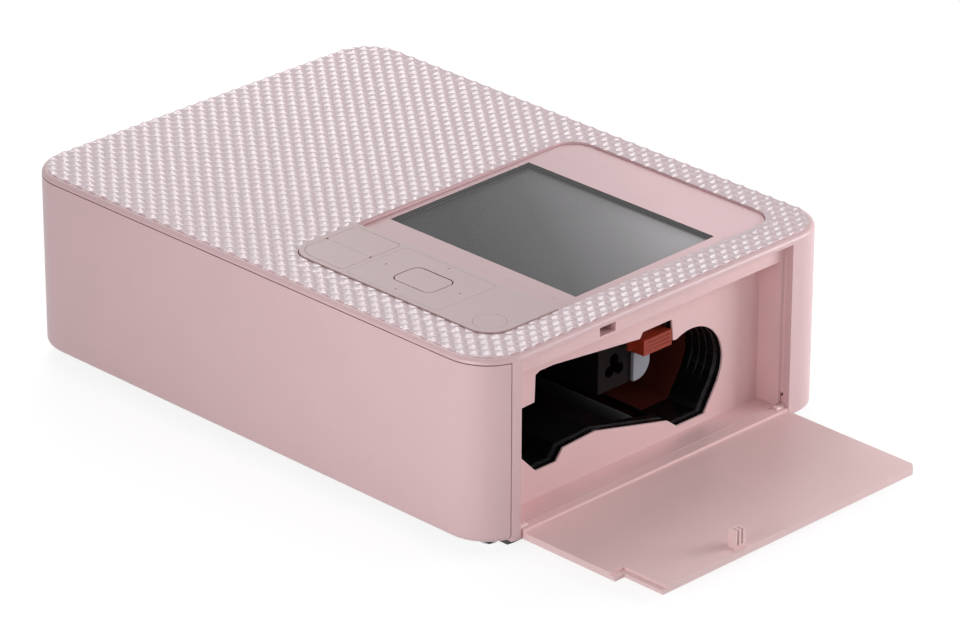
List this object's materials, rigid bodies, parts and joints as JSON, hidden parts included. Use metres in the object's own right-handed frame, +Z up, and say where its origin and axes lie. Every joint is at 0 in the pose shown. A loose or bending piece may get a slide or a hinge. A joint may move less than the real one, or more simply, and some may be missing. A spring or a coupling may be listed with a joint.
{
  "type": "compact photo printer",
  "caption": "Flat rectangular desktop printer with rounded corners, a sunk display, keypad, patterned top, fold-down front cover and an open hinged side door onto a ribbon bay.",
  "frame": {"origin": "on the table under the middle of the body, without the open side door", "axes": "+X to the right along the long side, towards the ribbon bay; +Y to the back; +Z up"},
  "size_m": [0.2288, 0.133, 0.0576],
  "materials": {
    "shell": "satin moulded pink plastic, fine-grained",
    "bay_pink": "moulded pink plastic",
    "window_pink": "glossy pink behind a clear skin",
    "glass": "clear hard-coated pane",
    "screen": "dark display behind glass",
    "base_grey": "dark grey moulded plastic",
    "rubber": "matt black rubber",
    "steel": "turned and plated steel",
    "sheet_steel": "zinc-coated sheet steel",
    "guide_black": "glossy black moulded plastic",
    "chamber_brown": "reddish-brown moulded plastic",
    "lever_orange": "orange moulded plastic",
    "gear_ivory": "ivory acetal",
    "brass": "cut brass",
    "board_green": "green circuit board",
    "heat_sink": "black anodised aluminium extrusion",
    "ceramic": "glazed ceramic",
    "cap_grey": "grey moulded plastic"
  },
  "bodies": {
    "body": {"upper_case": "shell", "keypad_plate": "shell", "ink_bay_frame": "bay_pink", "front_frame": "bay_pink", "display_window": "window_pink", "display_glass": "glass", "display_module": "screen", "base_plate": "base_grey", "panel_frame": "base_grey", "board_posts": "base_grey", "rubber_feet": "rubber", "case_screws": "steel", "cover_hinge_pins": "steel", "lever_spring": "steel", "head_pivot_rod": "steel", "card_slot": "steel", "usb_port": "steel", "feed_motor": "steel", "ribbon_motor": "steel", "head_motor": "steel", "chassis_left": "sheet_steel", "chassis_right": "sheet_steel", "chassis_floor": "sheet_steel", "front_spool_guide": "guide_black", "rear_spool_mouth": "guide_black", "ribbon_floor": "guide_black", "lower_paper_guide": "guide_black", "rear_paper_guide": "guide_black", "dc_inlet": "guide_black", "board_parts": "guide_black", "rear_spool_chamber": "chamber_brown", "key_board": "board_green", "main_board": "board_green"},
    "front_cover": {"front_cover": "shell"},
    "ink_door": {"ink_door": "shell"},
    "eject_lever": {"eject_lever": "lever_orange"},
    "ok_key": {"ok_key": "shell"},
    "arrow_pad": {"arrow_pad": "shell"},
    "edit_key": {"edit_key": "shell"},
    "back_key": {"back_key": "shell"},
    "power_key": {"power_key": "shell"},
    "platen": {"platen_rubber": "rubber", "platen_shaft": "steel"},
    "feed_roller": {"feed_roller": "steel", "feed_gear": "gear_ivory"},
    "pinch_roller": {"pinch_roller": "steel"},
    "pickup_roller": {"pickup_shaft": "steel", "pickup_tyres": "rubber"},
    "take_up": {"take_up_spindle": "gear_ivory", "take_up_gear": "gear_ivory"},
    "supply": {"supply_spindle": "gear_ivory"},
    "print_head": {"head_bracket": "sheet_steel", "head_heat_sink": "heat_sink", "thermal_head": "ceramic", "head_end_cap": "cap_grey"},
    "cam_shaft": {"cam_shaft": "gear_ivory", "cam_gear": "gear_ivory"},
    "feed_pinion": {"feed_pinion": "brass"},
    "ribbon_pinion": {"ribbon_pinion": "brass"},
    "head_pinion": {"head_pinion": "brass"}
  },
  "joints": [
    {"name": "ink_door_hinge", "type": "hinge", "parent": "body", "child": "ink_door", "pos_m": [0.08885, 0, 0.00575], "axis": [0, -1, 0], "range_deg": [0, 90]},
    {"name": "front_cover_hinge", "type": "hinge", "parent": "body", "child": "front_cover", "pos_m": [0, -0.061, 0.0056], "axis": [1, 0, 0], "range_deg": [0, 90]},
    {"name": "eject_lever_slide", "type": "slide", "parent": "body", "child": "eject_lever", "axis": [0, 0, 1], "range_m": [0, 0.0023], "stiffness_N_per_m": 100, "springref_m": -0.004, "deforming": ["lever_spring"]},
    {"name": "ok_key_press", "type": "slide", "parent": "body", "child": "ok_key", "axis": [0, 0, -1], "range_m": [0, 0.0004], "stiffness_N_per_m": 100, "springref_m": -0.001},
    {"name": "arrow_pad_press", "type": "slide", "parent": "body", "child": "arrow_pad", "axis": [0, 0, -1], "range_m": [0, 0.0004], "stiffness_N_per_m": 100, "springref_m": -0.001},
    {"name": "edit_key_press", "type": "slide", "parent": "body", "child": "edit_key", "axis": [0, 0, -1], "range_m": [0, 0.0004], "stiffness_N_per_m": 100, "springref_m": -0.001},
    {"name": "back_key_press", "type": "slide", "parent": "body", "child": "back_key", "axis": [0, 0, -1], "range_m": [0, 0.0004], "stiffness_N_per_m": 100, "springref_m": -0.001},
    {"name": "power_key_press", "type": "slide", "parent": "body", "child": "power_key", "axis": [0, 0, -1], "range_m": [0, 0.0004], "stiffness_N_per_m": 100, "springref_m": -0.001},
    {"name": "platen_spin", "type": "hinge", "parent": "body", "child": "platen", "pos_m": [0, 0.005, 0.0082], "axis": [1, 0, 0], "continuous": true},
    {"name": "feed_spin", "type": "hinge", "parent": "body", "child": "feed_roller", "pos_m": [0, -0.02, 0.0084], "axis": [1, 0, 0], "continuous": true},
    {"name": "pinch_spin", "type": "hinge", "parent": "body", "child": "pinch_roller", "pos_m": [0, -0.02, 0.0132], "axis": [1, 0, 0], "continuous": true},
    {"name": "pickup_spin", "type": "hinge", "parent": "body", "child": "pickup_roller", "pos_m": [0, -0.0515, 0.0195], "axis": [1, 0, 0], "continuous": true},
    {"name": "take_up_spin", "type": "hinge", "parent": "body", "child": "take_up", "pos_m": [0, -0.0356, 0.025], "axis": [1, 0, 0], "continuous": true},
    {"name": "supply_spin", "type": "hinge", "parent": "body", "child": "supply", "pos_m": [0, 0.0216, 0.0232], "axis": [1, 0, 0], "continuous": true},
    {"name": "cam_turn", "type": "hinge", "parent": "body", "child": "cam_shaft", "pos_m": [0, 0.05, 0.037], "axis": [1, 0, 0], "range_deg": [0, 150]},
    {"name": "head_swing", "type": "hinge", "parent": "body", "child": "print_head", "pos_m": [0, 0.038, 0.044], "axis": [1, 0, 0], "range_deg": [0, 14]},
    {"name": "feed_pinion_spin", "type": "hinge", "parent": "body", "child": "feed_pinion", "pos_m": [0, -0.02193, 0.01513], "axis": [1, 0, 0], "continuous": true},
    {"name": "ribbon_pinion_spin", "type": "hinge", "parent": "body", "child": "ribbon_pinion", "pos_m": [0, -0.04758, 0.01597], "axis": [1, 0, 0], "continuous": true},
    {"name": "head_pinion_turn", "type": "hinge", "parent": "body", "child": "head_pinion", "pos_m": [0, 0.04493, 0.02612], "axis": [1, 0, 0], "range_deg": [-450, 0]}
  ],
  "couplings": [
    {"joint": "feed_pinion_spin", "follows": "feed_spin", "ratio": -1.3333},
    {"joint": "pinch_spin", "follows": "feed_spin", "ratio": -1.3},
    {"joint": "ribbon_pinion_spin", "follows": "take_up_spin", "ratio": -4},
    {"joint": "head_pinion_turn", "follows": "cam_turn", "ratio": -3},
    {"joint": "head_swing", "follows": "cam_turn", "ratio": 0.093333}
  ]
}
